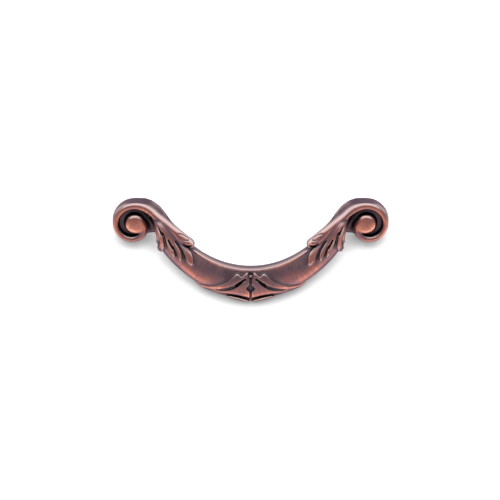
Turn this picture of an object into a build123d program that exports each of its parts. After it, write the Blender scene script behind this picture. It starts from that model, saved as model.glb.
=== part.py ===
"""Cast drop pull: a swag grip with scrolled ends, shoulder leaves and a leaf clasp at the middle.

X runs along the drawer front and Z is up. The drawer front is the plane Y = 0 and the grip stands out along -Y.
The origin is midway between the two screw holes. The right half is modelled and mirrored.
"""

import os
from math import cos, radians, sin, sqrt

from build123d import *

# Driving dimensions in millimetres
hole_spacing = 96.0
drop = 20.9
standoff = 19.4
grip_height = 13.4
grip_depth = 9.0

# Scrolls
scroll_radius = 9.3
scroll_depth = 8.3
eye_radius = 3.95
eye_dome = 0.5
rim_width = 3.1
ground_depth = 4.2
rim_gap = 0.7
foot_inset = 0.7

# Screw holes, tapped for a 4 mm machine screw
tap_radius = 1.65
tap_depth = 6.5

# Relief of the leaves over the bar
leaf_rise = 1.15
ridge_rise = 0.1
clasp_rise = 1.25
clasp_gap = 0.7
edge_ledge = 1.2
spoon_sink = 0.45

# The arm leaves the swag at the neck and turns into the scroll
neck_run = 0.75
neck_taper = 0.1
neck_drop = 0.75
neck_standoff = 0.98 * scroll_depth
arm_slope = 0.66

half = hole_spacing / 2
front = Vector(0, -1, 0)
neck_x = neck_run * half
swag_rise = drop - neck_drop
swag_radius = (neck_x**2 + swag_rise**2) / (2 * swag_rise)
bow_back = standoff - neck_standoff
bow_radius = (neck_x**2 + bow_back**2) / (2 * bow_back)


def bar_height(run):
    """Height of the bar at a share of the half spacing, a little less towards the neck."""
    return grip_height * (1 - neck_taper * (run / neck_run) ** 2)


def section_plane(place, heading):
    """Plane across the bar, its x axis to the front and its y axis up."""
    along = heading.normalized()
    forward = (front - along * front.dot(along)).normalized()
    return Plane(place, x_dir=forward, z_dir=-along)


def bar_plane(run):
    """Section plane of the bar: the swag is an arc from the front and the bow an arc from above."""
    x = run * half
    bow = sqrt(bow_radius**2 - x**2)
    swag = sqrt(swag_radius**2 - x**2)
    place = Vector(x, -standoff + bow_radius - bow, -drop + swag_radius - swag)
    return section_plane(place, Vector(1, x / bow, x / swag))


def bar_top(run):
    """Height of the bar's top over its middle line, as a share of its half height: the arms slope away."""
    return 1 - arm_slope * run**2


def bar_section(plane, height, depth, top, bead):
    """One section of the bar: a level top, a bead along its front edge, a full belly and a flat back."""
    h = height / 2
    d = depth / 2
    t = h * top
    under = (0.96 - 0.22 * bead) * d
    with BuildSketch(plane) as section:
        with BuildLine():
            Line((-0.45 * d, 0.95 * t), (0.42 * d, t))
            Polyline((0.42 * d, t), (0.80 * d, 0.94 * t), ((0.88 - 0.06 * bead) * d, 0.86 * t), (under, 0.80 * t))
            Bezier((under, 0.80 * t), (1.10 * d, 0.25 * t), (1.15 * d, -0.95 * h), (0.0, -h))
            Polyline((0.0, -h), (-0.60 * d, -0.82 * h), (-0.92 * d, -0.30 * h), (-0.92 * d, 0.45 * t), (-0.45 * d, 0.95 * t))
        make_face()
    return section.sketch


def front_section(plane, height, depth, top):
    """The front half of such a section, for relief that lies on the bar's face."""
    h = height / 2
    d = depth / 2
    t = h * top
    with BuildSketch(plane) as section:
        with BuildLine():
            Line((0, t), (0.42 * d, t))
            Polyline((0.42 * d, t), (0.80 * d, 0.94 * t), (0.82 * d, 0.86 * t), (0.74 * d, 0.80 * t))
            Bezier((0.74 * d, 0.80 * t), (1.10 * d, 0.25 * t), (1.15 * d, -0.95 * h), (0.0, -h))
            Line((0, -h), (0, t))
        make_face()
    return section.sketch


def arm_place(run, rise):
    """Place on the front of the bar: a share of the half spacing along it, a share of its half height up it."""
    plane = bar_plane(run)
    return plane.origin + plane.y_dir * (rise * bar_height(run) / 2) + plane.x_dir * (grip_depth / 2)


def arm_point(run, rise):
    """The same place seen from the front."""
    place = arm_place(run, rise)
    return (place.X, place.Z)


# Bar: from just past the middle to the neck and down into the scroll's foot
neck_heading = Vector(1, 0.45, 0.8)
neck_plane = section_plane(Vector(0.84 * half, -0.33 * scroll_depth, 0.19 * scroll_radius), neck_heading)
root_plane = section_plane(Vector(0.945 * half, -0.29 * scroll_depth, 0.40 * scroll_radius), Vector(1, 0.05, 0.2))
with BuildPart() as bar:
    runs = (-0.38, -0.19, 0.0, 0.19, 0.38, 0.53, 0.66, 0.75)
    bar_sections = []
    for run in runs:
        bar_sections.append(bar_section(bar_plane(run), bar_height(run), grip_depth, bar_top(run), 1.0))
    bar_sections.append(bar_section(neck_plane, 0.74 * grip_height, 0.40 * grip_depth, 1.0, 0.0))
    bar_sections.append(bar_section(root_plane, 0.50 * grip_height, 0.40 * grip_depth, 1.0, 0.0))
    loft(sections=bar_sections)

# Outer edge of the shoulder leaf, from the scroll's rim down to its lowest curl
leaf_edge = [
    (half - 0.45 * scroll_radius, 0.66 * scroll_radius),
    (half - 0.62 * scroll_radius, 0.48 * scroll_radius),
    (half - 0.77 * scroll_radius, 0.28 * scroll_radius),
    (half - 0.90 * scroll_radius, 0.06 * scroll_radius),
    arm_point(0.738, -0.44),
    arm_point(0.708, -0.59),
    arm_point(0.690, -0.78),
]

# Grip: half of the bar, cut back beside the leaf to make the deep groove round the scroll
with BuildPart() as grip:
    add(bar.part)
    split(bisect_by=Plane.YZ, keep=Keep.TOP)
    with BuildSketch(Plane.XZ.offset(ground_depth)):
        with BuildLine():
            hidden_edge = Spline(*[(x + edge_ledge, z) for x, z in [*leaf_edge, arm_point(0.672, -1.20)]])
            Polyline(
                hidden_edge @ 1,
                (half, -2 * scroll_radius),
                (half + 2 * scroll_radius, 0),
                (half, scroll_radius),
                hidden_edge @ 0,
            )
        make_face()
    extrude(amount=2 * standoff, mode=Mode.SUBTRACT)


# Scroll
turn_power = 3.2
turn_end = 290


def volute_radius(turn):
    """Outer radius of the scroll's rim after a number of degrees from its top."""
    return eye_radius + (scroll_radius - eye_radius) * (1 - (turn / turn_end) ** turn_power)


def volute_point(turn, radius):
    """Place on the scroll, turning outwards and down from its top."""
    return (half + radius * sin(radians(turn)), radius * cos(radians(turn)))


# Foot: the plate against the drawer front that carries the rim and the eye, with a web across to the arm
with BuildPart() as foot:
    with BuildSketch(Plane.XZ):
        with BuildLine():
            turns = [turn_end * step / 10 for step in range(11)]
            edge = Spline(*[volute_point(turn, volute_radius(turn) - foot_inset) for turn in turns])
            Spline(
                edge @ 1,
                (half - 0.82 * scroll_radius, 0.10 * scroll_radius),
                edge @ 0,
                tangents=((-1, 0.2), (1, -0.1)),
            )
        make_face()
        with BuildLine():
            Polyline(
                (half - 0.30 * scroll_radius, -0.20 * scroll_radius),
                (half - 0.45 * scroll_radius, -0.60 * scroll_radius),
                (half - 1.10 * scroll_radius, -0.56 * scroll_radius),
                (half - 1.10 * scroll_radius, 0.06 * scroll_radius),
                (half - 0.80 * scroll_radius, 0.50 * scroll_radius),
                (half - 0.30 * scroll_radius, 0.75 * scroll_radius),
                close=True,
            )
        make_face()
    extrude(amount=ground_depth)

# Eye: a domed button
eye_edge = scroll_depth - 1.1
eye_front = scroll_depth + eye_dome
with BuildPart() as eye:
    with BuildSketch(Plane(origin=(half, 0, 0), x_dir=(1, 0, 0), z_dir=(0, 0, 1))):
        with BuildLine():
            Polyline((0, 0), (eye_radius, 0), (eye_radius, -eye_edge), (0.95 * eye_radius, -eye_edge - 0.6))
            RadiusArc((0.95 * eye_radius, -eye_edge - 0.6), (0, -eye_front), 2.2 * eye_radius)
            Line((0, -eye_front), (0, 0))
        make_face()
    revolve(axis=Axis((half, 0, 0), (0, 1, 0)))

# Rim: a round-edged wall that starts as the tongue on the arm, runs over the top of the scroll and round into the eye
rim_depth = scroll_depth - rim_gap


def wall_section(crest, along, width, depth, fullness, flare):
    """Section of a wall with a crowned front edge, flatter where it is less full and flared outwards to the back."""
    forward = (front - along * front.dot(along)).normalized()
    r = width / 2
    b = fullness * r
    with BuildSketch(Plane(crest, x_dir=forward, z_dir=along)) as cut:
        with BuildLine():
            Polyline((-b, -r), (-0.28 * b, -0.5 * r), (0, 0), (-0.28 * b, 0.5 * r), (-b, r))
            Polyline((-b, r), (-depth, r), (-depth, -r - flare), (-b, -r))
        make_face()
    return cut.sketch


crest_lift = front * (leaf_rise + ridge_rise)
crest_points = [
    arm_place(0.553, 0.98) + crest_lift,
    arm_place(0.590, 0.88) + crest_lift,
    arm_place(0.655, 0.73) + crest_lift,
    arm_place(0.735, 0.45) + crest_lift,
    Vector(half - 0.76 * scroll_radius, -1.14 * scroll_depth, 0.53 * scroll_radius),
    Vector(half, -scroll_depth, scroll_radius - rim_width / 2),
]
with BuildPart() as rim:
    with BuildLine() as crest:
        Spline(*crest_points, tangents=((1, 0.3, 0.3), (1, 0, 0.05)))
    line = crest.line
    wall = []
    for step, width, depth, fullness, flare in (
        (0.00, 0.38, 0.28, 0.60, 0.00),
        (0.03, 0.86, 0.42, 0.55, 0.00),
        (0.12, 1.28, 0.52, 0.50, 0.00),
        (0.28, 1.28, 0.56, 0.50, 0.00),
        (0.52, 1.12, 0.70, 0.50, -0.05),
        (0.78, 1.00, 0.82, 0.45, 0.50),
    ):
        heading = (line % step).normalized()
        out = flare * rim_width
        wall.append(wall_section(line @ step, heading, rim_width * width, rim_depth * depth, fullness, out))
    for turn, share, sunk in (
        (0, 1.00, 0.0),
        (45, 0.90, 0.0),
        (90, 0.80, 0.0),
        (135, 0.80, 0.0),
        (180, 0.84, 0.0),
        (225, 1.00, 0.0),
        (265, 0.85, 0.1),
        (turn_end, 0.50, 0.5),
    ):
        width = rim_width * share
        place = volute_point(turn, volute_radius(turn) - width / 2)
        ahead = volute_point(turn + 1, volute_radius(turn + 1) - width / 2)
        heading = Vector(ahead[0] - place[0], 0, ahead[1] - place[1]).normalized()
        crown = Vector(place[0], -scroll_depth + sunk, place[1])
        wall.append(wall_section(crown, heading, width, rim_depth - sunk, 0.45, 0.0))
    loft(sections=wall)

# Spoon: a drop-shaped pocket let into the tongue
with BuildPart() as spoon:
    spoon_start = line @ 0.07
    spoon_end = line @ 0.33
    spoon_long = (spoon_end - spoon_start).length
    spoon_wide = 0.34 * rim_width
    spoon_way = (spoon_end - spoon_start).normalized()
    spoon_out = (front - spoon_way * front.dot(spoon_way)).normalized()
    with BuildSketch(Plane(spoon_start - spoon_out * spoon_sink, x_dir=spoon_way, z_dir=spoon_out)):
        with BuildLine():
            ThreePointArc((0.2 * spoon_long, -spoon_wide), (0, 0), (0.2 * spoon_long, spoon_wide))
            ThreePointArc((0.2 * spoon_long, spoon_wide), (0.6 * spoon_long, 0.7 * spoon_wide), (spoon_long, 0))
            ThreePointArc((spoon_long, 0), (0.6 * spoon_long, -0.7 * spoon_wide), (0.2 * spoon_long, -spoon_wide))
        make_face()
    extrude(amount=2 * rim_width)

# Shoulder leaf: a raised sheath on the arm that parts into four lobes, cut from a thicker copy of the bar
sheath_plane = section_plane(Vector(0.84 * half, -0.63 * scroll_depth, 0.19 * scroll_radius), neck_heading)
tip_plane = section_plane(Vector(0.925 * half, -0.45 * scroll_depth, 0.48 * scroll_radius), Vector(1, 0.25, 0.65))
with BuildPart() as shoulder_leaf:
    sheath = []
    for run in (0.42, 0.50, 0.58, 0.66, 0.75):
        tall = bar_height(run) + 2 * leaf_rise
        sheath.append(front_section(bar_plane(run), tall, grip_depth + 2 * leaf_rise, bar_top(run)))
    sheath.append(front_section(sheath_plane, 0.90 * grip_height, 0.82 * grip_depth, 1.0))
    sheath.append(front_section(tip_plane, 0.70 * grip_height, 0.76 * grip_depth, 1.0))
    loft(sections=sheath)
    with BuildSketch(Plane.XZ):
        with BuildLine():
            wall_side = Spline(*leaf_edge[:4])
            ridge = Spline(wall_side @ 0, *[(place.X, place.Z) for place in crest_points[4:0:-1]])
            Polyline(
                ridge @ 1,
                arm_point(0.600, 0.66),
                arm_point(0.662, 0.28),
                arm_point(0.679, -0.02),
                arm_point(0.742, -0.12),
                wall_side @ 1,
            )
        make_face()
        for petal_points in (
            [
                *leaf_edge[2:],
                arm_point(0.676, -1.09),
                arm_point(0.659, -1.15),
                arm_point(0.652, -1.04),
                arm_point(0.654, -0.81),
                arm_point(0.667, -0.60),
                arm_point(0.686, -0.43),
                arm_point(0.708, -0.29),
                arm_point(0.747, -0.16),
            ],
            [
                arm_point(0.740, -0.06),
                arm_point(0.707, -0.13),
                arm_point(0.679, -0.27),
                arm_point(0.651, -0.41),
                arm_point(0.620, -0.50),
                arm_point(0.586, -0.50),
                arm_point(0.606, -0.29),
                arm_point(0.630, -0.16),
                arm_point(0.655, -0.08),
                arm_point(0.682, -0.03),
                arm_point(0.710, 0.02),
            ],
            [
                arm_point(0.690, 0.08),
                arm_point(0.672, -0.01),
                arm_point(0.645, -0.02),
                arm_point(0.614, -0.10),
                arm_point(0.584, -0.25),
                arm_point(0.547, -0.38),
                arm_point(0.557, -0.13),
                arm_point(0.578, 0.05),
                arm_point(0.608, 0.17),
                arm_point(0.635, 0.22),
                arm_point(0.668, 0.25),
            ],
            [
                arm_point(0.668, 0.36),
                arm_point(0.625, 0.33),
                arm_point(0.592, 0.27),
                arm_point(0.556, 0.14),
                arm_point(0.525, -0.04),
                arm_point(0.499, -0.10),
                arm_point(0.477, -0.06),
                arm_point(0.489, 0.25),
                arm_point(0.518, 0.50),
                arm_point(0.551, 0.59),
                arm_point(0.584, 0.58),
                arm_point(0.620, 0.62),
            ],
        ):
            with BuildLine():
                petal = Spline(*petal_points)
                Line(petal @ 1, petal @ 0)
            make_face()
    extrude(amount=2 * standoff, mode=Mode.INTERSECT)

# Leaf clasp at the middle: two cuffs that meet at a gap, cut from a thicker copy of the bar and slit into lobes
clasp_low = 0.35


def clasp_section(run, rise, tall):
    """Section of the clasp: out from the bar by its rise, and taller than the bar most of all below."""
    plane = bar_plane(run)
    lowered = Plane(plane.origin - plane.y_dir * (clasp_low * tall), x_dir=plane.x_dir, z_dir=plane.z_dir)
    return front_section(lowered, bar_height(run) + 2 * tall, grip_depth + 2 * rise, bar_top(run))


gap_side = clasp_gap / 2
with BuildPart() as clasp:
    cuff = []
    for run, rise, tall in (
        (-0.08, 1.00, 0.95),
        (0.00, 1.05, 1.15),
        (0.08, 1.00, 0.95),
        (0.18, 0.80, 0.45),
        (0.28, 0.60, 0.35),
        (0.40, 0.45, 0.30),
    ):
        cuff.append(clasp_section(run, clasp_rise * rise, clasp_rise * tall))
    loft(sections=cuff)
    with BuildSketch(Plane.XZ):
        with BuildLine():
            crown = Spline(
                (gap_side, arm_point(0.0, 0.66)[1]),
                arm_point(0.040, 0.77),
                arm_point(0.066, 0.60),
                arm_point(0.083, 0.47),
            )
            brim = Spline(
                crown @ 1,
                arm_point(0.097, 0.61),
                arm_point(0.115, 0.67),
                arm_point(0.150, 0.46),
                arm_point(0.197, -0.03),
                arm_point(0.271, -0.53),
                arm_point(0.400, -1.02),
            )
            Polyline(brim @ 1, arm_point(0.400, -1.6), arm_point(0.10, -1.7), (gap_side, -2 * drop), crown @ 0)
        make_face()
        with BuildLine():
            Spline(arm_point(0.042, 0.38), arm_point(0.125, -0.08), arm_point(0.210, -0.53), arm_point(0.30, -0.90))
            Spline(arm_point(0.30, -0.90), arm_point(0.206, -0.68), arm_point(0.121, -0.26), arm_point(0.042, 0.38))
        make_face(mode=Mode.SUBTRACT)
        with BuildLine():
            Spline(arm_point(0.0, -0.86), arm_point(0.047, -0.83), arm_point(0.110, -0.80), arm_point(0.20, -0.84))
            Spline(arm_point(0.20, -0.84), arm_point(0.110, -0.90), arm_point(0.047, -0.99), arm_point(0.0, -1.20))
            Line(arm_point(0.0, -1.20), arm_point(0.0, -0.86))
        make_face(mode=Mode.SUBTRACT)
        with BuildLine():
            Polyline(arm_point(0.0, 0.15), arm_point(0.035, -0.18), arm_point(0.0, -0.49), arm_point(0.0, 0.15))
        make_face(mode=Mode.SUBTRACT)
    extrude(amount=2 * standoff, mode=Mode.INTERSECT)

# Pin between the two cuffs
pin_radius = 0.65
pin_place = arm_place(0.0, 0.58)

# The casting: one half put together, then mirrored
with BuildPart() as drop_pull:
    add(grip.part)
    add(foot.part)
    add(rim.part)
    add(eye.part)
    add(shoulder_leaf.part)
    add(spoon.part, mode=Mode.SUBTRACT)
    add(clasp.part)
    with Locations(Plane(origin=(half, 0, 0), x_dir=(1, 0, 0), z_dir=(0, 1, 0))):
        Hole(tap_radius, depth=tap_depth)
    mirror(about=Plane.YZ)
    with Locations(Plane(pin_place, z_dir=front)):
        Cylinder(pin_radius, 2 * clasp_rise)

drop_pull.part.label = "drop_pull"
os.makedirs("parts", exist_ok=True)
export_step(drop_pull.part, "parts/drop_pull.step")
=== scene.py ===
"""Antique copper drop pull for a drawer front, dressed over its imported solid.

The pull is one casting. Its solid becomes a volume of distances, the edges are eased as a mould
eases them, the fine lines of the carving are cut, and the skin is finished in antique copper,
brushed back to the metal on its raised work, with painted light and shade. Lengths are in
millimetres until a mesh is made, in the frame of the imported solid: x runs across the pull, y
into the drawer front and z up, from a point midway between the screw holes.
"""

import logging
import math
from dataclasses import dataclass, field
from enum import Enum

import bpy
import numpy as np
import openvdb as vdb
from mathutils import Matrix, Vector


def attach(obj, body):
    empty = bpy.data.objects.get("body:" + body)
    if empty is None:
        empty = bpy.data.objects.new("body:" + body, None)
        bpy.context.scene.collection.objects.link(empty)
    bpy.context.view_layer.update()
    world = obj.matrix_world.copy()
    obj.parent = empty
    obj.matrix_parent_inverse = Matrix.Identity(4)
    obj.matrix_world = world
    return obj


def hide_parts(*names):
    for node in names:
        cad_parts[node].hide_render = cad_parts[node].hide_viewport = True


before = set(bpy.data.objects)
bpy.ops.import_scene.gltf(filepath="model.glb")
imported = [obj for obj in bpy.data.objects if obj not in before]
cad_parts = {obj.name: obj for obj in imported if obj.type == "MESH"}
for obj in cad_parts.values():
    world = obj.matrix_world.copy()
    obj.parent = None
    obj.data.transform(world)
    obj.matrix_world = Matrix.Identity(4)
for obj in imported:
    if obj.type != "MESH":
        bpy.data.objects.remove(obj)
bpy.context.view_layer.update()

LOG = logging.getLogger("drop_pull")
MM = 0.001
VIEW_RISE = math.radians(20.0)  # angle of the camera over the pull's own level
KERNEL_REACH = 2.6  # spreads of a softening kernel that are kept on each side of its middle
FLAT = 0.5  # share of metal round a place on a flat face
LINE_FADE = 0.6  # depth over which a carved line runs out
LINE_MARGIN = 1.2  # distance past a carved line's ends beyond which nothing is cut
NOISE_LOW, NOISE_HIGH = 0.3, 0.7  # values between which nearly all of a noise texture lies
OXIDE_WHOLE, COPPER_BARE = 0.1, 0.9  # share of copper shown, from the brush and from painted light and shade, where the metal is roughest and smoothest
MIX_SHARE, MIX_FIRST, MIX_SECOND = 0, 6, 7  # inputs of a Mix node that mixes colours
MIX_COLOUR = 2  # its output


class Tone(Enum):
    """Colours of the finish, with its painted light and shade, and of the studio, as sRGB hex."""

    BRIGHT_COPPER = "D99A86"
    RUBBED_COPPER = "BD7663"
    WARM_PATINA = "956463"
    DARK_PATINA = "7A5F66"
    DEEP_PATINA = "5E4B50"
    # painted reflection on what faces up
    SLATE_TOP_REFLECTION = "43373F"
    # painted highlight on raised work that faces up
    ROSE_HIGHLIGHT = "968482"
    # copper brushed bright on edges, with a painted pale highlight
    EDGE_COPPER_HIGHLIGHT = "DBBFB7"
    GRAZING = "C9BCC6"
    # dark oxide in the hollows, with painted shade
    HOLLOW_OXIDE_AND_SHADE = "483E46"
    PAPER = "D2D2D2"
    WHITE = "FFFFFF"


PATINA_STOPS = (
    (0.05, Tone.DEEP_PATINA),
    (0.30, Tone.DARK_PATINA),
    (0.55, Tone.WARM_PATINA),
    (0.80, Tone.RUBBED_COPPER),
    (1.00, Tone.BRIGHT_COPPER),
)


def linear(tone: Tone) -> tuple[float, float, float, float]:
    """Turn a tone's sRGB hex into linear colour.

    Args:
        tone: The named colour.

    Returns:
        Red, green, blue and a full alpha.
    """
    parts = [int(tone.value[at : at + 2], 16) / 255 for at in (0, 2, 4)]
    bright = [p / 12.92 if p <= 0.04045 else ((p + 0.055) / 1.055) ** 2.4 for p in parts]
    return (*bright, 1.0)


def add_node(
    tree: bpy.types.NodeTree,
    kind: str,
    settings: dict[str | int, object],
    links: dict[str | int, bpy.types.NodeSocket],
) -> bpy.types.Node:
    """Add a node to a tree with its settings and its incoming links.

    Args:
        tree: The node tree.
        kind: Blender's node type.
        settings: Values by attribute name, or by input name or number where the node has no such
            attribute.
        links: Outgoing sockets by the input name or number that they feed.

    Returns:
        The new node.
    """
    node = tree.nodes.new(kind)
    for name, value in settings.items():
        if isinstance(name, str) and hasattr(node, name):
            setattr(node, name, value)
        else:
            node.inputs[name].default_value = value
    for name, source in links.items():
        tree.links.new(source, node.inputs[name])
    return node


@dataclass
class ReliefVolume:
    """Distances to a surface on a regular grid, negative inside the metal.

    Attributes:
        pitch: Grid spacing in millimetres.
        low: Grid index of the first cell on each axis.
        values: The distances in millimetres.
    """

    pitch: float
    low: tuple[int, int, int]
    values: np.ndarray

    @classmethod
    def of_mesh(cls, mesh: bpy.types.Mesh, pitch: float, reach: float) -> "ReliefVolume":
        """Measure a closed mesh.

        Args:
            mesh: The mesh, in metres.
            pitch: Grid spacing in millimetres.
            reach: How far from the surface distances are kept, in millimetres.

        Returns:
            The volume, with a margin of the reach on every side.
        """
        mesh.calc_loop_triangles()
        points = np.empty(len(mesh.vertices) * 3, np.float32)
        mesh.vertices.foreach_get("co", points)
        points = points.reshape(-1, 3) / MM
        corners = np.empty(len(mesh.loop_triangles) * 3, np.int32)
        mesh.loop_triangles.foreach_get("vertices", corners)
        grid = vdb.FloatGrid.createLevelSetFromPolygons(
            np.ascontiguousarray(points, np.float32),
            triangles=np.ascontiguousarray(corners.reshape(-1, 3), np.uint32),
            transform=vdb.createLinearTransform(voxelSize=pitch),
            halfWidth=reach / pitch,
        )
        margin = math.ceil(reach / pitch) + 2
        low = np.floor(points.min(0) / pitch).astype(int) - margin
        high = np.ceil(points.max(0) / pitch).astype(int) + margin
        values = np.empty(tuple(high - low + 1), np.float32)
        grid.copyToArray(values, ijk=tuple(int(i) for i in low))
        return cls(pitch, tuple(int(i) for i in low), values)

    def blurred(self, spread: float, values: np.ndarray) -> np.ndarray:
        """Soften a field on this grid with a bell-shaped kernel.

        Args:
            spread: Standard deviation of the kernel in millimetres.
            values: The field.

        Returns:
            The softened field.
        """
        cells = spread / self.pitch
        radius = math.ceil(KERNEL_REACH * cells)
        weights = np.exp(-0.5 * (np.arange(-radius, radius + 1) / cells) ** 2)
        weights /= weights.sum()
        for axis in range(3):
            count = values.shape[axis]
            pad = [(radius, radius) if a == axis else (0, 0) for a in range(3)]
            padded = np.pad(values, pad, mode="edge")
            total = np.zeros_like(values)
            for step, weight in enumerate(weights):
                window = [slice(None)] * 3
                window[axis] = slice(step, step + count)
                total += np.float32(weight) * padded[tuple(window)]
            values = total
        return values

    def sample(self, values: np.ndarray, points: np.ndarray) -> np.ndarray:
        """Read a field on this grid between its cells.

        Args:
            values: The field.
            points: Places in millimetres, one row each.

        Returns:
            The field at each place.
        """
        place = points / self.pitch - np.array(self.low)
        cell = np.clip(np.floor(place).astype(int), 0, np.array(values.shape) - 2)
        share = place - cell
        total = np.zeros(len(points))
        for corner in np.ndindex(2, 2, 2):
            at = cell + np.array(corner)
            weight = np.prod(np.where(corner, share, 1 - share), axis=1)
            total += weight * values[at[:, 0], at[:, 1], at[:, 2]]
        return total

    def places(self) -> tuple[np.ndarray, np.ndarray, np.ndarray]:
        """Give the x, y and z of every cell in millimetres, each along its own axis of the grid."""
        counts = zip(self.values.shape, self.low)
        x, y, z = ((np.arange(count) + first) * self.pitch for count, first in counts)
        return x[:, None, None], y[None, :, None], z[None, None, :]

    def skin(self) -> tuple[np.ndarray, np.ndarray]:
        """Wrap the volume in a mesh.

        Returns:
            Places in millimetres and four-sided faces, turned outwards.
        """
        grid = vdb.FloatGrid()
        grid.copyFromArray(np.ascontiguousarray(self.values), ijk=self.low)
        grid.transform = vdb.createLinearTransform(voxelSize=self.pitch)
        grid.gridClass = vdb.GridClass.LEVEL_SET
        points, _, quads = grid.convertToPolygons(isovalue=0.0, adaptivity=0.0)
        quads = quads.astype(np.int64)
        a, b, c = (points[quads[:, k]].astype(float) for k in (0, 1, 2))
        inside_out = np.einsum("ij,ij->i", a, np.cross(b, c)).sum() < 0
        return points.astype(float), quads[:, ::-1] if inside_out else quads


class Mark(Enum):
    """Marks that the casting's mesh carries for its finish."""

    RELIEF = "relief"  # how far the work stands out
    HOLLOW = "hollow"  # how much dark oxide and painted shade stays
    LIFT = "lift"  # how far the skin faces up, counted less on the bead so that it takes more painted highlight
    BRUSH_AND_SHADE = "reach"  # how well the brush gets there, low where painted shade keeps the copper dark
    EDGE = "edge"  # how sharp an edge is
    ALONG = "along"  # length along the swag in millimetres
    ACROSS = "across"  # distance from the swag's centre in millimetres


class Growth(Enum):
    """Ways in which a share grows, as Blender calls them."""

    EVEN = "LINEAR"
    SOFT = "SMOOTHSTEP"


@dataclass(frozen=True)
class MarkShare:
    """How a mark on the casting tells in its finish and in the light and shade painted on it.

    Attributes:
        mark: The mark.
        start: Value of the mark where it begins to tell.
        full: Value of the mark where it tells most.
        most: How much it tells there.
        growth: How its share grows between the two.
    """

    mark: Mark
    start: float
    full: float
    most: float = 1.0
    growth: Growth = Growth.SOFT


MARK_SHARES = {
    "raised": MarkShare(Mark.RELIEF, -0.05, 0.15, 0.64, Growth.EVEN),
    # copper on what faces down: partly brushed bare and partly a painted reflection of the pale
    # table
    "down_wear_and_reflection": MarkShare(Mark.LIFT, 0.42, -0.25, 0.34),
    # edges: copper brushed bright, with a painted pale highlight
    "edge": MarkShare(Mark.EDGE, 0.07, 0.16, 0.68),
    # where raised work facing up takes the painted rose highlight
    "stands_out": MarkShare(Mark.RELIEF, 0.03, 0.13),
    "not_flat_up": MarkShare(Mark.LIFT, 0.98, 0.85),
    # painted reflection on what faces up: slate, with the rose highlight where it stands out
    "top_reflection": MarkShare(Mark.LIFT, 0.32, 0.62, 0.92),
    # dark oxide in hollows and slits, with painted shade in sheltered places
    "oxide_and_shade": MarkShare(Mark.HOLLOW, 0.05, 0.16),
}


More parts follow.
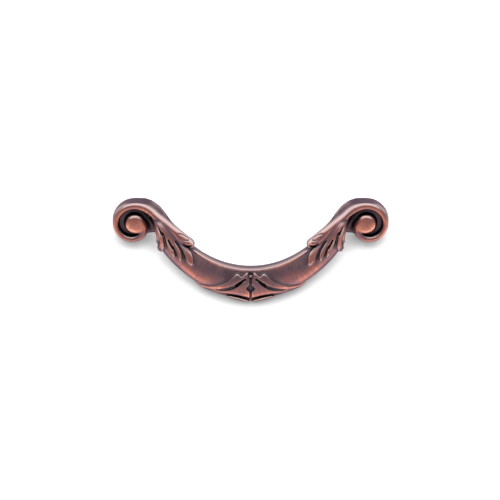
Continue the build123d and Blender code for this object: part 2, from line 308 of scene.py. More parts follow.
@dataclass(frozen=True)
class AntiqueCopper:
    """Copper plate on a die casting, oxidised nearly black, brushed by hand and lacquered.

    Attributes:
        streak_pitch: Spacing of the brush marks in millimetres, drawn coarser than real so that
            they show.
        streak_length: Length of a brush mark in millimetres.
        streak_depth: How much the brush marks change the wear.
        mottle_size: Size of the uneven patches in the oxide in millimetres.
        mottle_depth: How much the patches change the wear.
        pit_size: Size of the fine pits of the casting in millimetres.
        pit_depth: How much the pits change the wear.
        felt_height: Height of the strokes and pits in millimetres.
        felt_strength: How strongly that height turns the light.
        oxide_roughness: Roughness where the oxide is whole.
        copper_roughness: Roughness where the copper is bare.
        lacquer: Weight of the clear lacquer.
        lacquer_roughness: Its roughness.
    """

    streak_pitch: float = 0.38
    streak_length: float = 7.0
    streak_depth: float = 0.13
    mottle_size: float = 4.0
    mottle_depth: float = 0.09
    pit_size: float = 0.5
    pit_depth: float = 0.12
    felt_height: float = 0.06
    felt_strength: float = 0.5
    oxide_roughness: float = 0.36
    copper_roughness: float = 0.26
    lacquer: float = 0.08
    lacquer_roughness: float = 0.15

    def material(self) -> bpy.types.Material:
        """Make the material.

        Returns:
            The finished material.
        """
        # The oxide stays dark in the hollows, with painted shade added in sheltered places, and the
        # brush clears warm copper where the work stands out, with fine marks across the grip.
        # Copper on what faces down is partly a painted reflection of the pale table, the rounded
        # edges carry a painted pale highlight, and what faces up is painted as a slate reflection
        # with a rose highlight where it stands out.
        made = bpy.data.materials.new("antique_copper_plate_brushed")
        made.use_nodes = True
        tree = made.node_tree
        tree.nodes.clear()
        marks = {}
        for mark in Mark:
            read = add_node(tree, "ShaderNodeAttribute", {"attribute_name": mark.value}, {})
            marks[mark] = read.outputs["Fac"]
        shares = {}
        for name, share in MARK_SHARES.items():
            grown = add_node(
                tree,
                "ShaderNodeMapRange",
                {
                    "interpolation_type": share.growth.value,
                    "From Min": share.start,
                    "From Max": share.full,
                    "To Min": 0.0,
                    "To Max": share.most,
                },
                {"Value": marks[share.mark]},
            )
            shares[name] = grown.outputs["Result"]
        strokes, patches, pits = self.unevenness(tree, marks)

        # How far the copper shows: the brush clears it most on raised work, on what faces down it
        # is partly a painted reflection of the pale table, and painted shade keeps it dark where
        # the brush's reach is low
        relief_and_down = add_node(
            tree,
            "ShaderNodeMath",
            {"operation": "ADD"},
            {0: shares["raised"], 1: shares["down_wear_and_reflection"]},
        )
        copper_shown = add_node(
            tree,
            "ShaderNodeMath",
            {"operation": "MULTIPLY"},
            {0: relief_and_down.outputs[0], 1: marks[Mark.BRUSH_AND_SHADE]},
        )
        for noise, depth in (
            (strokes, self.streak_depth),
            (patches, self.mottle_depth),
            (pits, self.pit_depth),
        ):
            change = add_node(
                tree,
                "ShaderNodeMapRange",
                {"From Min": NOISE_LOW, "From Max": NOISE_HIGH, "To Min": -depth, "To Max": depth},
                {"Value": noise},
            )
            copper_shown = add_node(
                tree,
                "ShaderNodeMath",
                {"operation": "ADD"},
                {0: copper_shown.outputs[0], 1: change.outputs["Result"]},
            )
        colour = self.colour(tree, copper_shown.outputs[0], marks[Mark.BRUSH_AND_SHADE], shares)

        # The bare copper is smoother than the oxide, and strokes and pits are felt as well as seen
        smooth = add_node(
            tree,
            "ShaderNodeMapRange",
            {
                "From Min": OXIDE_WHOLE,
                "From Max": COPPER_BARE,
                "To Min": self.oxide_roughness,
                "To Max": self.copper_roughness,
            },
            {"Value": copper_shown.outputs[0]},
        )
        felt = add_node(tree, "ShaderNodeMath", {"operation": "ADD"}, {0: strokes, 1: pits})
        bump = add_node(
            tree,
            "ShaderNodeBump",
            {"Strength": self.felt_strength, "Distance": self.felt_height * MM},
            {"Height": felt.outputs[0]},
        )
        shader = add_node(
            tree,
            "ShaderNodeBsdfPrincipled",
            {
                "Metallic": 1.0,
                "Specular Tint": linear(Tone.GRAZING),
                "Coat Weight": self.lacquer,
                "Coat Roughness": self.lacquer_roughness,
            },
            {
                "Base Color": colour,
                "Roughness": smooth.outputs["Result"],
                "Normal": bump.outputs[0],
            },
        )
        add_node(tree, "ShaderNodeOutputMaterial", {}, {"Surface": shader.outputs["BSDF"]})
        return made

    def unevenness(
        self, tree: bpy.types.NodeTree, marks: dict[Mark, bpy.types.NodeSocket]
    ) -> list[bpy.types.NodeSocket]:
        """Draw what is uneven: long strokes of the brush, broad patches of oxide and small pits.

        Args:
            tree: The material's nodes.
            marks: The casting's marks.

        Returns:
            The strokes, the patches and the pits.
        """
        place = add_node(tree, "ShaderNodeTexCoord", {}, {}).outputs["Object"]
        swag = add_node(
            tree, "ShaderNodeCombineXYZ", {}, {"X": marks[Mark.ALONG], "Y": marks[Mark.ACROSS]}
        )
        scale = (1 / self.streak_pitch, 1 / self.streak_length, 1.0)
        stretched = add_node(
            tree, "ShaderNodeMapping", {"Scale": scale}, {"Vector": swag.outputs[0]}
        )
        drawn = []
        for settings, source in (
            ({"Scale": 1.0, "Detail": 4.0, "Roughness": 0.65}, stretched.outputs[0]),
            ({"Scale": 1 / (self.mottle_size * MM), "Detail": 5.0}, place),
            ({"Scale": 1 / (self.pit_size * MM), "Detail": 3.0}, place),
        ):
            noise = add_node(tree, "ShaderNodeTexNoise", settings, {"Vector": source})
            drawn.append(noise.outputs["Fac"])
        return drawn

    def colour(
        self,
        tree: bpy.types.NodeTree,
        copper_shown: bpy.types.NodeSocket,
        reach: bpy.types.NodeSocket,
        shares: dict[str, bpy.types.NodeSocket],
    ) -> bpy.types.NodeSocket:
        """Colour the metal from deep oxide to bright copper.

        Edges carry a painted pale highlight over their copper, what faces up is painted as a slate
        reflection with a rose highlight where it stands out, and dark oxide with painted shade
        stays in the slits.

        Args:
            tree: The material's nodes.
            copper_shown: How far the copper shows, from the brush and, on what faces down, from a
                painted reflection of the pale table.
            reach: How well the brush gets there, low where painted shade keeps the copper dark.
            shares: How the casting's marks tell.

        Returns:
            The colour.
        """
        ramp = add_node(tree, "ShaderNodeValToRGB", {}, {"Fac": copper_shown})
        stops = ramp.color_ramp.elements
        while len(stops) < len(PATINA_STOPS):
            stops.new(0.5)  # put in its place below
        for stop, (at, tone) in zip(stops, PATINA_STOPS):
            stop.position = at
            stop.color = linear(tone)
        # brushed edges get a painted pale highlight
        edge_wear_and_highlight = add_node(
            tree, "ShaderNodeMath", {"operation": "MULTIPLY"}, {0: shares["edge"], 1: reach}
        )
        edge_highlighted = add_node(
            tree,
            "ShaderNodeMix",
            {"data_type": "RGBA", MIX_SECOND: linear(Tone.EDGE_COPPER_HIGHLIGHT)},
            {MIX_SHARE: edge_wear_and_highlight.outputs[0], MIX_FIRST: ramp.outputs["Color"]},
        )
        # painted rose highlight where raised work faces up
        highlight_share = add_node(
            tree,
            "ShaderNodeMath",
            {"operation": "MULTIPLY"},
            {0: shares["stands_out"], 1: shares["not_flat_up"]},
        )
        top_reflection = add_node(
            tree,
            "ShaderNodeMix",
            {
                "data_type": "RGBA",
                MIX_FIRST: linear(Tone.SLATE_TOP_REFLECTION),
                MIX_SECOND: linear(Tone.ROSE_HIGHLIGHT),
            },
            {MIX_SHARE: highlight_share.outputs[0]},
        )
        # painted slate reflection and rose highlight on what faces up
        top_reflected = add_node(
            tree,
            "ShaderNodeMix",
            {"data_type": "RGBA"},
            {
                MIX_SHARE: shares["top_reflection"],
                MIX_FIRST: edge_highlighted.outputs[MIX_COLOUR],
                MIX_SECOND: top_reflection.outputs[MIX_COLOUR],
            },
        )
        # dark oxide and painted shade in the hollows and slits
        darkened_hollows = add_node(
            tree,
            "ShaderNodeMix",
            {"data_type": "RGBA", MIX_SECOND: linear(Tone.HOLLOW_OXIDE_AND_SHADE)},
            {MIX_SHARE: shares["oxide_and_shade"], MIX_FIRST: top_reflected.outputs[MIX_COLOUR]},
        )
        return darkened_hollows.outputs[MIX_COLOUR]


@dataclass(frozen=True)
class SweepPaper:
    """Matt white paper under the pull, with an even white glow on top that fades to a painted grey
    shadow close to the pull.

    Attributes:
        lift: Strength of the even white that a camera or a mirror sees on top of the lit paper.
        crevice: How far from the pull the even white fades into a painted shadow in the crevice
            under it, in millimetres.
        steepness: Power of that fading, so that the painted shadow is dark only close to the pull.
        samples: Rays that feel for the pull from each place.
    """

    lift: float = 0.85
    crevice: float = 9.0
    steepness: float = 2.0
    samples: int = 16

    def material(self) -> bpy.types.Material:
        """Make the material.

        Returns:
            The finished material, clear from below so that the pull's back can be looked at.
        """
        # Uncoated paper scatters all light evenly, so the lamp gives it soft grey shadows; the even
        # white glow seen on top of it fades close to the pull as a painted contact shadow.
        made = bpy.data.materials.new("matt_paper_white")
        made.use_nodes = True
        tree = made.node_tree
        tree.nodes.clear()
        paper = add_node(tree, "ShaderNodeBsdfDiffuse", {"Color": linear(Tone.PAPER)}, {})
        rays = add_node(tree, "ShaderNodeLightPath", {}, {})
        seen = rays.outputs["Is Camera Ray"]
        for mirrored in ("Is Glossy Ray", "Is Transmission Ray"):
            seen = add_node(
                tree,
                "ShaderNodeMath",
                {"operation": "MAXIMUM"},
                {0: seen, 1: rays.outputs[mirrored]},
            ).outputs[0]
        strength = add_node(
            tree, "ShaderNodeMath", {"operation": "MULTIPLY", 1: self.lift}, {0: seen}
        )
        # painted contact shadow: the white glow fades where the pull is close
        open_sky = add_node(
            tree,
            "ShaderNodeAmbientOcclusion",
            {"Distance": self.crevice * MM, "samples": self.samples},
            {},
        )
        steep = add_node(
            tree,
            "ShaderNodeMath",
            {"operation": "POWER", 1: self.steepness},
            {0: open_sky.outputs["AO"]},
        )
        glow_with_painted_shadow = add_node(
            tree,
            "ShaderNodeMath",
            {"operation": "MULTIPLY"},
            {0: strength.outputs[0], 1: steep.outputs[0]},
        )
        glow = add_node(
            tree,
            "ShaderNodeEmission",
            {"Color": linear(Tone.WHITE)},
            {"Strength": glow_with_painted_shadow.outputs[0]},
        )
        front = add_node(
            tree, "ShaderNodeAddShader", {}, {0: paper.outputs[0], 1: glow.outputs[0]}
        )
        clear = add_node(tree, "ShaderNodeBsdfTransparent", {}, {})
        side = add_node(tree, "ShaderNodeNewGeometry", {}, {})
        mixed = add_node(
            tree,
            "ShaderNodeMixShader",
            {},
            {0: side.outputs["Backfacing"], 1: front.outputs[0], 2: clear.outputs[0]},
        )
        add_node(tree, "ShaderNodeOutputMaterial", {}, {"Surface": mixed.outputs[0]})
        return made


@dataclass(frozen=True)
class CarvedLine:
    """A thin line cut into the front of the casting, on both sides of its middle.

    Attributes:
        path: Places along the line as distances out from the middle and heights across the view
            in millimetres.
        width: Distance from the line at which its depth has fallen to about a third, in
            millimetres.
        depth: Depth at its middle in millimetres.
        behind: The metal behind this y stays whole, in millimetres.
    """

    path: tuple[tuple[float, float], ...]
    width: float
    depth: float
    behind: float

    def share(self, x: np.ndarray, y: np.ndarray, z: np.ndarray) -> np.ndarray:
        """Give the share of the full depth that is cut at each place.

        Args:
            x: Places across the pull in millimetres.
            y: Places towards the drawer in millimetres.
            z: Places upwards in millimetres.

        Returns:
            Shares from 0 to 1.
        """
        side = np.abs(x)
        height = z * math.cos(VIEW_RISE) + y * math.sin(VIEW_RISE)
        nearest = np.full(np.broadcast(side, height).shape, np.inf)
        for (side_a, high_a), (side_b, high_b) in zip(self.path, self.path[1:]):
            run, rise = side_b - side_a, high_b - high_a
            along = ((side - side_a) * run + (height - high_a) * rise) / (run**2 + rise**2)
            along = np.clip(along, 0, 1)
            away = np.hypot(side - side_a - along * run, height - high_a - along * rise)
            nearest = np.minimum(nearest, away)
        return np.exp(-((nearest / self.width) ** 2)) * np.clip((self.behind - y) / LINE_FADE, 0, 1)


CARVED_LINES = {
    "clasp_slit_end": CarvedLine(
        ((6.0, -27.9), (4.0, -26.6), (2.3, -25.5)), width=0.36, depth=0.9, behind=-20.0
    ),
    "clasp_hem": CarvedLine(
        ((11.8, -31.6), (8.5, -31.9), (5.2, -32.3), (2.7, -33.0), (0.5, -33.6)),
        width=0.34,
        depth=0.8,
        behind=-19.5,
    ),
    "pin_surround": CarvedLine(
        ((0.0, -22.9), (0.9, -23.3), (1.05, -24.0), (0.6, -24.8), (0.0, -25.0)),
        width=0.24,
        depth=0.45,
        behind=-22.0,
    ),
    "spoon": CarvedLine(
        (
            (29.6, -6.6),
            (28.0, -7.0),
            (26.4, -7.7),
            (25.5, -8.8),
            (25.9, -9.5),
            (27.2, -9.3),
            (28.6, -8.6),
        ),
        width=0.22,
        depth=0.3,
        behind=-13.0,
    ),
    "first_gap_top": CarvedLine(
        ((38.2, -3.9), (37.4, -5.6), (36.7, -7.2)), width=0.3, depth=0.6, behind=-10.0
    ),
    "second_gap_top": CarvedLine(
        ((34.1, -9.2), (33.4, -10.6), (32.3, -12.6)), width=0.34, depth=0.7, behind=-12.5
    ),
    "under_tongue": CarvedLine(
        ((28.0, -11.0), (26.3, -11.9), (24.9, -11.7), (24.3, -11.4)),
        width=0.4,
        depth=0.55,
        behind=-15.3,
    ),
}


@dataclass(frozen=True)
class BackingBlock:
    """A block of metal across the middle that closes the clasp from behind.

    Attributes:
        middle: Its middle as y and z in millimetres.
        half: Half its width, its depth and its height in millimetres.
    """

    middle: tuple[float, float]
    half: tuple[float, float, float]

    def distance(self, x: np.ndarray, y: np.ndarray, z: np.ndarray) -> np.ndarray:
        """Give the distance past the block's nearest side, negative inside.

        Args:
            x: Places across the pull in millimetres.
            y: Places towards the drawer in millimetres.
            z: Places upwards in millimetres.

        Returns:
            The distances in millimetres.
        """
        wide, deep, high = self.half
        past_front = np.abs(y - self.middle[0]) - deep
        past_top = np.abs(z - self.middle[1]) - high
        return np.maximum(np.maximum(np.abs(x) - wide, past_front), past_top)


CLASP_BACKING = {
    "seam": BackingBlock(middle=(-19.3, -27.9), half=(1.6, 0.8, 1.3)),
    "hem": BackingBlock(middle=(-19.3, -27.4), half=(7.5, 0.8, 0.9)),
}


class Measure(Enum):
    """What says where a place is on the casting and which way the skin faces there."""

    SIDE = "distance out from the middle"
    DEPTH = "y, which is 0 at the drawer front and falls towards the viewer"
    HEIGHT = "z, which is 0 at the screw holes"
    PAST_SCROLL = "distance past the border of the nearer scroll"
    PAST_EYE = "distance past the border of its eye"
    SWAG = "distance from the swag's centre of curvature"
    FACES_OUT = "share of the skin's direction that points away from the middle"
    FACES_BACK = "share of the skin's direction that points to the drawer"
    FACES_UP = "share of the skin's direction that points up"
    OPEN = "how much more air than metal lies round the place"


class Patch(Enum):
    """Parts of the casting, each with its soft borders.

    A border is a measure with the value where the part begins and the value where it is whole.
    A place belongs to the part as far as it lies inside every border.
    """

    SHOULDER_TOP = ((Measure.HEIGHT, 1.0, 4.0), (Measure.DEPTH, -8.5, -2.5))
    # Where the rounding is fuller
    RIDGE = ((Measure.SWAG, 39.0, 37.5), (Measure.SIDE, 24.0, 26.0))
    WHOLE_SCROLL = ((Measure.PAST_SCROLL, 0.0, -1.5),)
    FRONT_LAYER = ((Measure.DEPTH, -3.0, -4.5),)
    ARM_ROOT = (
        (Measure.DEPTH, -6.0, -4.0),
        (Measure.SIDE, 34.0, 36.0),
        (Measure.SIDE, 43.5, 42.0),
    )
    # Where the brush, the oxide and the painted light and shade differ
    # faces turned to the front that the brush reaches; strongly down-facing and deep places are
    # kept dark as painted shade
    BRUSHED_AND_LIT = (
        (Measure.FACES_BACK, -0.22, -0.72),
        (Measure.FACES_UP, -0.95, -0.35),
        (Measure.DEPTH, -2.5, -6.5),
    )
    # painted shade on the leaves' sides that face out towards the scrolls
    SHADED_LEAF_SIDE = (
        (Measure.FACES_OUT, 0.5, 0.75),
        (Measure.PAST_SCROLL, 0.0, 1.0),
        (Measure.SIDE, 24.0, 27.0),
    )
    SCROLL = ((Measure.PAST_SCROLL, 0.0, -1.0),)
    EYE = ((Measure.PAST_EYE, 0.5, -0.5), (Measure.DEPTH, -6.0, -7.0))
    # painted shade on the rim, most beside its groove
    RIM = ((Measure.PAST_SCROLL, 0.0, -1.0), (Measure.PAST_EYE, 0.5, 1.5))
    RIM_EDGE = ((Measure.PAST_EYE, 1.9, 4.4),)
    # painted shade on top of the clasp, under the grip
    CLASP_TOP = ((Measure.SIDE, 13.0, 9.0), (Measure.HEIGHT, -27.0, -22.0))
    # painted shade under the arms, which also tones down the painted table reflection there
    BELLY = (
        (Measure.SIDE, 22.0, 30.0),
        (Measure.FACES_UP, -0.1, -0.4),
        (Measure.PAST_SCROLL, -1.0, 0.0),
    )
    LOBES = (
        (Measure.SIDE, 23.0, 25.0),
        (Measure.SWAG, 38.5, 39.5),
        (Measure.PAST_SCROLL, -1.0, 0.0),
    )
    # the bead, which takes a painted highlight
    BEAD = ((Measure.SWAG, 38.5, 37.5), (Measure.SIDE, 25.0, 23.0))
    # painted shade in sheltered places
    SHELTERED = ((Measure.OPEN, 0.10, 0.02), (Measure.DEPTH, -7.0, -5.0))
    # painted light: hollows that face up are kept lighter
    FACING_UP = ((Measure.FACES_UP, 0.0, 1.0),)

    def share(self, measured: dict[Measure, np.ndarray]) -> np.ndarray:
        """Give the share of each place that belongs to the part.

        Args:
            measured: The places' measures.

        Returns:
            Shares from 0 to 1.
        """
        total = np.ones(())
        for measure, start, whole in self.value:
            total = total * np.clip((measured[measure] - start) / (whole - start), 0, 1)
        return total


@dataclass(frozen=True)
class WearAndShade:
    """How the brush, the oxide, and the painted light and shade share the casting between them.

    Attributes:
        edge_spread: Distance over which an edge is told from what lies round it, in millimetres.
        leaf_spread: The same for the relief of the leaves.
        part_spread: The same for the relief of whole parts.
        shelter_spread: The same for the shelter between parts.
        leaf_weight: Weight of the leaves' relief.
        part_weight: Weight of the parts' relief.
        proud: Relief that is added on the eyes and lobes, which the brush wears most.
        oxide_and_shade: Mark of a hollow that is full of dark oxide and painted shade.
        up_painted_light: Share of that darkening that is taken off where the skin faces up, as
            painted light.
        scroll_painted_light: Share of that darkening that is taken off on the scrolls, so that
            their grooves are painted lighter.
        bead_turn: Share by which the bead's skin counts as facing up less, so that it takes more
            painted highlight and less painted slate.
        groove_shade: Share of the copper that painted shade takes off the rim beside its groove.
        rim_shade: The same at the rim's outer edge.
        clasp_shade: The same on top of the clasp.
        belly_shade: The same under the arms.
    """

    edge_spread: float = 0.45
    leaf_spread: float = 1.1
    part_spread: float = 1.6
    shelter_spread: float = 3.0
    leaf_weight: float = 0.5
    part_weight: float = 0.6
    proud: float = 0.03
    oxide_and_shade: float = 0.16
    up_painted_light: float = 0.6
    scroll_painted_light: float = 0.3
    bead_turn: float = 0.16
    groove_shade: float = 0.5
    rim_shade: float = 0.1
    clasp_shade: float = 0.42
    belly_shade: float = 0.7


@dataclass
class PullCasting:
    """The casting: grip, scrolls, shoulder leaves and clasp in one piece.

    Attributes:
        pitch: Spacing of the volume's grid in millimetres.
        reach: How far from the skin the volume keeps distances, in millimetres.
        edge_ease: Rounding of the carving's edges in millimetres, as the spread of a softening
            kernel.
        full_ease: The same where the edges are fuller, on the scrolls and the leaves' ridges.
        full_spare: Depth of metal that the fuller rounding spares in millimetres, so that it takes
            off edges and leaves flats and hollows as they are.
        scroll_reach: Radius of a scroll with its border in millimetres.
        hole_spacing: Distance between the screw holes, which are the scrolls' middles, in
            millimetres.
        eye_radius: Radius of the button in each scroll in millimetres.
        eye_core: Share of that radius inside which the solid's own dome is ground away.
        eye_front: How far the button stands off the drawer in millimetres.
        eye_ball: Radius of the ball that its front is ground to in millimetres.
        ground_depth: How far the scroll's ground stands off the drawer in millimetres.
        swag_centre: Height of the swag's centre of curvature over the screw holes in millimetres.
        shoulder_out: Distance from the middle to the fullest place on top of a shoulder in
            millimetres.
        shoulder_spread: Distance from there at which the swell has fallen to about a third, in
            millimetres.
        shoulder_swell: How far the casting swells there in millimetres.
        wear_and_shade: How the brush, the oxide, and the painted light and shade share it.
        finish: The metal's finish.
    """

    pitch: float = 0.3
    reach: float = 4.0
    edge_ease: float = 0.24
    full_ease: float = 0.9
    full_spare: float = 0.08
    scroll_reach: float = 10.6
    hole_spacing: float = 96.0
    eye_radius: float = 4.1
    eye_core: float = 0.9
    eye_front: float = 8.9
    eye_ball: float = 13.0
    ground_depth: float = 4.2
    swag_centre: float = 21.3
    shoulder_out: float = 40.4
    shoulder_spread: float = 4.4
    shoulder_swell: float = 1.0
    wear_and_shade: WearAndShade = field(default_factory=WearAndShade)
    finish: AntiqueCopper = field(default_factory=AntiqueCopper)

    def build(self) -> bpy.types.Object:
        """Skin the eased and carved volume and put it in place of the plain solid.

        Returns:
            The dressed casting.
        """
        volume = ReliefVolume.of_mesh(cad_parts["drop_pull"].data, self.pitch, self.reach)
        self.ease(volume)
        self.carve(volume)
        points, quads = volume.skin()
        mesh = bpy.data.meshes.new("drop_pull_casting")
        mesh.from_pydata((points * MM).tolist(), [], quads.tolist())
        mesh.polygons.foreach_set("use_smooth", np.ones(len(mesh.polygons), bool))
        self.mark_wear_and_shade(mesh, volume, points)
        mesh.materials.append(self.finish.material())
        casting = bpy.data.objects.new("drop_pull_casting", mesh)
        bpy.context.scene.collection.objects.link(casting)
        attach(casting, "root")
        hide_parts("drop_pull")
        LOG.info("casting: %d points, %d faces", len(points), len(quads))
        return casting

    def measures(
        self, x: np.ndarray, y: np.ndarray, z: np.ndarray
    ) -> dict[Measure, np.ndarray]:
        """Measure where places are on the casting.

        Args:
            x: Places across the pull in millimetres.
            y: Places towards the drawer in millimetres.
            z: Places upwards in millimetres.

        Returns:
            Every measure that can be told without the skin.
        """
        from_scroll = np.hypot(np.abs(x) - self.hole_spacing / 2, z)
        return {
            Measure.SIDE: np.abs(x),
            Measure.DEPTH: y,
            Measure.HEIGHT: z,
            Measure.PAST_SCROLL: from_scroll - self.scroll_reach,
            Measure.PAST_EYE: from_scroll - self.eye_radius,
            Measure.SWAG: np.hypot(x, self.swag_centre - z),
        }

    def ease(self, volume: ReliefVolume) -> None:
        """Grind the eyes, fill the shoulders and round the edges, most on scrolls and ridges.

        Args:
            volume: The casting's volume.
        """
        x, y, z = volume.places()
        measured = self.measures(x, y, z)
        past_eye = measured[Measure.PAST_EYE]
        from_ball = (past_eye + self.eye_radius) ** 2 + (y + self.eye_front - self.eye_ball) ** 2
        ball = np.sqrt(from_ball) - self.eye_ball
        core = (past_eye < (self.eye_core - 1) * self.eye_radius) & (y < -self.ground_depth)
        button = np.maximum(np.maximum(past_eye, ball), y + self.ground_depth)
        ground_off = np.maximum(volume.values, np.where(core, ball, -np.inf))
        volume.values = np.minimum(ground_off, button).astype(np.float32)

        from_fullest = (measured[Measure.SIDE] - self.shoulder_out) / self.shoulder_spread
        shoulder = np.exp(-(from_fullest**2)) * Patch.SHOULDER_TOP.share(measured)
        filled = volume.values - self.shoulder_swell * shoulder
        volume.values = np.maximum(filled, y).astype(np.float32)  # nothing passes the drawer front

        sharp = volume.blurred(self.edge_ease, volume.values)
        fuller = volume.blurred(self.full_ease, volume.values)
        rounded = np.maximum(fuller - self.full_spare, sharp)
        full = np.maximum(Patch.WHOLE_SCROLL.share(measured), Patch.RIDGE.share(measured))
        full = full * Patch.FRONT_LAYER.share(measured)
        root = Patch.ARM_ROOT.share(measured)  # here the hollows are softened as well
        eased = sharp + (rounded - sharp) * full + (fuller - sharp) * root
        volume.values = eased.astype(np.float32)

    def carve(self, volume: ReliefVolume) -> None:
        """Close the clasp at the back, and cut the thin lines of the leaves and the clasp.

        Args:
            volume: The casting's volume.
        """
        x, y, z = volume.places()
        for block in CLASP_BACKING.values():
            closed = np.minimum(volume.values, block.distance(x, y, z))
            volume.values = closed.astype(np.float32)
        side = np.abs(x[:, 0, 0])
        for line in CARVED_LINES.values():
            sides = [place[0] for place in line.path]
            near = np.flatnonzero(
                (side > min(sides) - LINE_MARGIN) & (side < max(sides) + LINE_MARGIN)
            )
            volume.values[near] += (line.depth * line.share(x[near], y, z)).astype(np.float32)

    def mark_wear_and_shade(
        self, mesh: bpy.types.Mesh, volume: ReliefVolume, points: np.ndarray
    ) -> None:
        """Store on the mesh where the brush reaches, where painted shade keeps the copper dark,
        where dark oxide and painted shade stay and which way the brush went.

        Args:
            mesh: The casting's mesh.
            volume: Its volume.
            points: Its places in millimetres.
        """
        wear_and_shade = self.wear_and_shade
        metal = np.clip(FLAT - volume.values / (2 * self.pitch), 0, 1).astype(np.float32)
        edge, leaf, part, open_air = (
            FLAT - volume.sample(volume.blurred(spread, metal), points)
            for spread in (
                wear_and_shade.edge_spread,
                wear_and_shade.leaf_spread,
                wear_and_shade.part_spread,
                wear_and_shade.shelter_spread,
            )
        )
        normals = np.empty(len(mesh.vertices) * 3, np.float32)
        mesh.vertices.foreach_get("normal", normals)
        normals = normals.reshape(-1, 3)
        measured = self.measures(*points.T) | {
            Measure.FACES_OUT: normals[:, 0] * np.sign(points[:, 0]),
            Measure.FACES_BACK: normals[:, 1],
            Measure.FACES_UP: normals[:, 2],
            Measure.OPEN: open_air,
        }
        on = {patch: patch.share(measured) for patch in Patch}

        # where the brush reaches, less where painted shade falls: on the leaves' outer sides, on
        # the rim beside its groove, on top of the clasp and under the arms
        outwards = (wear_and_shade.rim_shade - wear_and_shade.groove_shade) * on[Patch.RIM_EDGE]
        reach = on[Patch.BRUSHED_AND_LIT] * (1 - on[Patch.SHADED_LEAF_SIDE])
        reach *= 1 - (wear_and_shade.groove_shade + outwards) * on[Patch.RIM]
        reach *= 1 - wear_and_shade.clasp_shade * on[Patch.CLASP_TOP]
        reach *= 1 - wear_and_shade.belly_shade * on[Patch.BELLY]

        lines = np.max([line.share(*points.T) for line in CARVED_LINES.values()], axis=0)
        # dark oxide in hollows and carved lines, with painted shade in sheltered places, and
        # painted light that takes it off what faces up and on the scrolls
        oxide_and_shade = np.maximum(-leaf, wear_and_shade.oxide_and_shade * on[Patch.SHELTERED])
        oxide_and_shade *= 1 - wear_and_shade.up_painted_light * on[Patch.FACING_UP]
        oxide_and_shade *= 1 - wear_and_shade.scroll_painted_light * on[Patch.SCROLL]

        relief = wear_and_shade.leaf_weight * leaf + wear_and_shade.part_weight * part
        around = np.arctan2(points[:, 0], self.swag_centre - points[:, 2])
        marks = {
            Mark.RELIEF: relief + wear_and_shade.proud * (on[Patch.EYE] + on[Patch.LOBES]),
            Mark.HOLLOW: np.maximum(oxide_and_shade, wear_and_shade.oxide_and_shade * lines),
            # the bead counts as facing up less, for its painted highlight
            Mark.LIFT: normals[:, 2] * (1 - wear_and_shade.bead_turn * on[Patch.BEAD]),
            Mark.EDGE: edge,
            Mark.BRUSH_AND_SHADE: reach,
            Mark.ALONG: around * 2 * self.swag_centre,  # the grip's radius is about twice that
            Mark.ACROSS: measured[Measure.SWAG],
        }
        for mark, values in marks.items():
            stored = mesh.attributes.new(mark.value, "FLOAT", "POINT")
            stored.data.foreach_set("value", values.astype(np.float32))


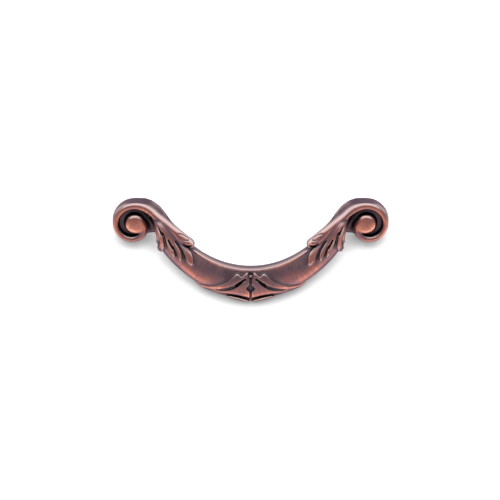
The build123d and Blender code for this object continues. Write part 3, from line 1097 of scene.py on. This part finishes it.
@dataclass
class Studio:
    """The table, the lamp, the backdrop and the camera.

    Attributes:
        pixel: Size of a pixel of the picture at the pull in millimetres.
        origin_pixel: Pixel of the picture where the frame's origin falls.
        picture: Width and height of the picture in pixels.
        camera_away: Distance of the camera in metres.
        table_side: Side of the table in metres.
        scrolls_from: Share of the pull's half width beyond which it can stand on its scrolls.
        leaf_to: Share of the pull's half width up to which it can stand on its leaf.
        tilts: Least and most tilt of the table in degrees.
        halvings: Steps in which the tilt is closed in on.
        paper: What the table is covered with.
    """

    pixel: float = 0.41415
    origin_pixel: tuple[float, float] = (250.6, 218.0)
    picture: int = 500
    camera_away: float = 1.0
    table_side: float = 1.6
    scrolls_from: float = 0.7
    leaf_to: float = 0.2
    tilts: tuple[float, float] = (10.0, 80.0)
    halvings: int = 40
    paper: SweepPaper = field(default_factory=SweepPaper)

    def table(self, casting: bpy.types.Object) -> bpy.types.Object:
        """Lay a table under the pull as it lies by itself, on both scrolls and on its leaf.

        Args:
            casting: The pull.

        Returns:
            The table.
        """
        points = np.empty(len(casting.data.vertices) * 3)
        casting.data.vertices.foreach_get("co", points)
        points = points.reshape(-1, 3)
        side = np.abs(points[:, 0])
        scrolls = points[side > self.scrolls_from * side.max()]
        leaf = points[side < self.leaf_to * side.max()]
        low, high = self.tilts
        for _ in range(self.halvings):
            tilt = (low + high) / 2
            turn = math.radians(tilt)
            normal = np.array((0.0, -math.sin(turn), math.cos(turn)))
            if (leaf @ normal).min() < (scrolls @ normal).min():
                low = tilt
            else:
                high = tilt
        level = min((leaf @ normal).min(), (scrolls @ normal).min())
        half = self.table_side / 2
        corners = [(-half, -half, 0), (half, -half, 0), (half, half, 0), (-half, half, 0)]
        mesh = bpy.data.meshes.new("paper_table")
        mesh.from_pydata(corners, [], [(0, 1, 2, 3)])
        mesh.materials.append(self.paper.material())
        table = bpy.data.objects.new("paper_table", mesh)
        table.rotation_euler = (math.radians(tilt), 0, 0)
        table.location = Vector(normal) * float(level)
        bpy.context.scene.collection.objects.link(table)
        LOG.info("table: tilt %.1f degrees", tilt)
        return table

    def lamp(
        self,
        name: str,
        way: tuple[float, float, float],
        away: float,
        size: tuple[float, float],
        strength: float,
    ) -> None:
        """Hang a soft lamp that looks at the pull.

        Args:
            name: The lamp's name.
            way: Direction from the pull to the lamp.
            away: Its distance in metres.
            size: Its width and height in metres.
            strength: Brightness of its face, where 1 is white.
        """
        data = bpy.data.lights.new(name, "AREA")
        data.shape = "RECTANGLE"
        data.size, data.size_y = size
        data.energy = strength * math.pi * size[0] * size[1]
        lamp = bpy.data.objects.new(name, data)
        lamp.location = Vector(way).normalized() * away
        lamp.rotation_euler = Vector(way).to_track_quat("Z", "Y").to_euler()
        bpy.context.scene.collection.objects.link(lamp)

    def backdrop(self, level: float, above: float, below: float) -> None:
        """Surround the scene with a plain pale room, dimmest before the pull at its own level.

        Args:
            level: Brightness of the room on the camera's side, where 1 is white.
            above: What is added high up behind.
            below: What is added where the table's paper runs on below the level.
        """
        world = bpy.data.worlds.new("pale_room")
        world.use_nodes = True
        tree = world.node_tree
        tree.nodes.clear()
        way = add_node(tree, "ShaderNodeTexCoord", {}, {}).outputs["Generated"]
        up_behind, down = (0.0, 0.55, 0.83), (0.0, 0.0, -1.0)
        zones = []
        for towards, start, full, least, most in (
            (up_behind, -0.5, 0.8, level, level + above),
            (down, 0.0, 0.4, 0.0, below),
        ):
            share = add_node(
                tree, "ShaderNodeVectorMath", {"operation": "DOT_PRODUCT", 1: towards}, {0: way}
            )
            zone = add_node(
                tree,
                "ShaderNodeMapRange",
                {
                    "interpolation_type": Growth.SOFT.value,
                    "From Min": start,
                    "From Max": full,
                    "To Min": least,
                    "To Max": most,
                },
                {"Value": share.outputs["Value"]},
            )
            zones.append(zone.outputs["Result"])
        strength = add_node(
            tree, "ShaderNodeMath", {"operation": "ADD"}, {0: zones[0], 1: zones[1]}
        )
        light = add_node(
            tree,
            "ShaderNodeBackground",
            {"Color": linear(Tone.WHITE)},
            {"Strength": strength.outputs[0]},
        )
        add_node(tree, "ShaderNodeOutputWorld", {}, {"Surface": light.outputs[0]})
        bpy.context.scene.world = world

    def camera(self) -> None:
        """Place the camera so that the frame's origin falls on its pixel of the picture."""
        ahead = Vector((0, math.cos(VIEW_RISE), -math.sin(VIEW_RISE)))
        up = Vector((0, math.sin(VIEW_RISE), math.cos(VIEW_RISE)))
        across = (self.picture / 2 - self.origin_pixel[0]) * self.pixel * MM
        rise = (self.origin_pixel[1] - self.picture / 2) * self.pixel * MM
        data = bpy.data.cameras.new("camera")
        data.type = "ORTHO"
        data.ortho_scale = self.picture * self.pixel * MM
        camera = bpy.data.objects.new("camera", data)
        camera.location = Vector((across, 0, 0)) + up * rise - ahead * self.camera_away
        camera.rotation_euler = (math.pi / 2 - VIEW_RISE, 0, 0)
        bpy.context.scene.collection.objects.link(camera)
        bpy.context.scene.camera = camera

    def build(self, casting: bpy.types.Object) -> None:
        """Set up everything round the pull.

        Args:
            casting: The pull.
        """
        self.table(casting)
        self.lamp(
            "overhead_softbox", (0, -0.22, 0.97), away=0.6, size=(1.3, 0.95), strength=1.9
        )
        self.backdrop(level=0.57, above=0.3, below=0.4)
        self.camera()
        bpy.context.scene.view_settings.view_transform = "Standard"
        LOG.info("studio: table, lamp, backdrop and camera")


def main() -> None:
    """Build the casting and the studio, and note the size of the result."""
    logging.basicConfig(level=logging.INFO, format="%(name)s: %(message)s")
    casting = PullCasting().build()
    Studio().build(casting)


if __name__ == "__main__":
    main()
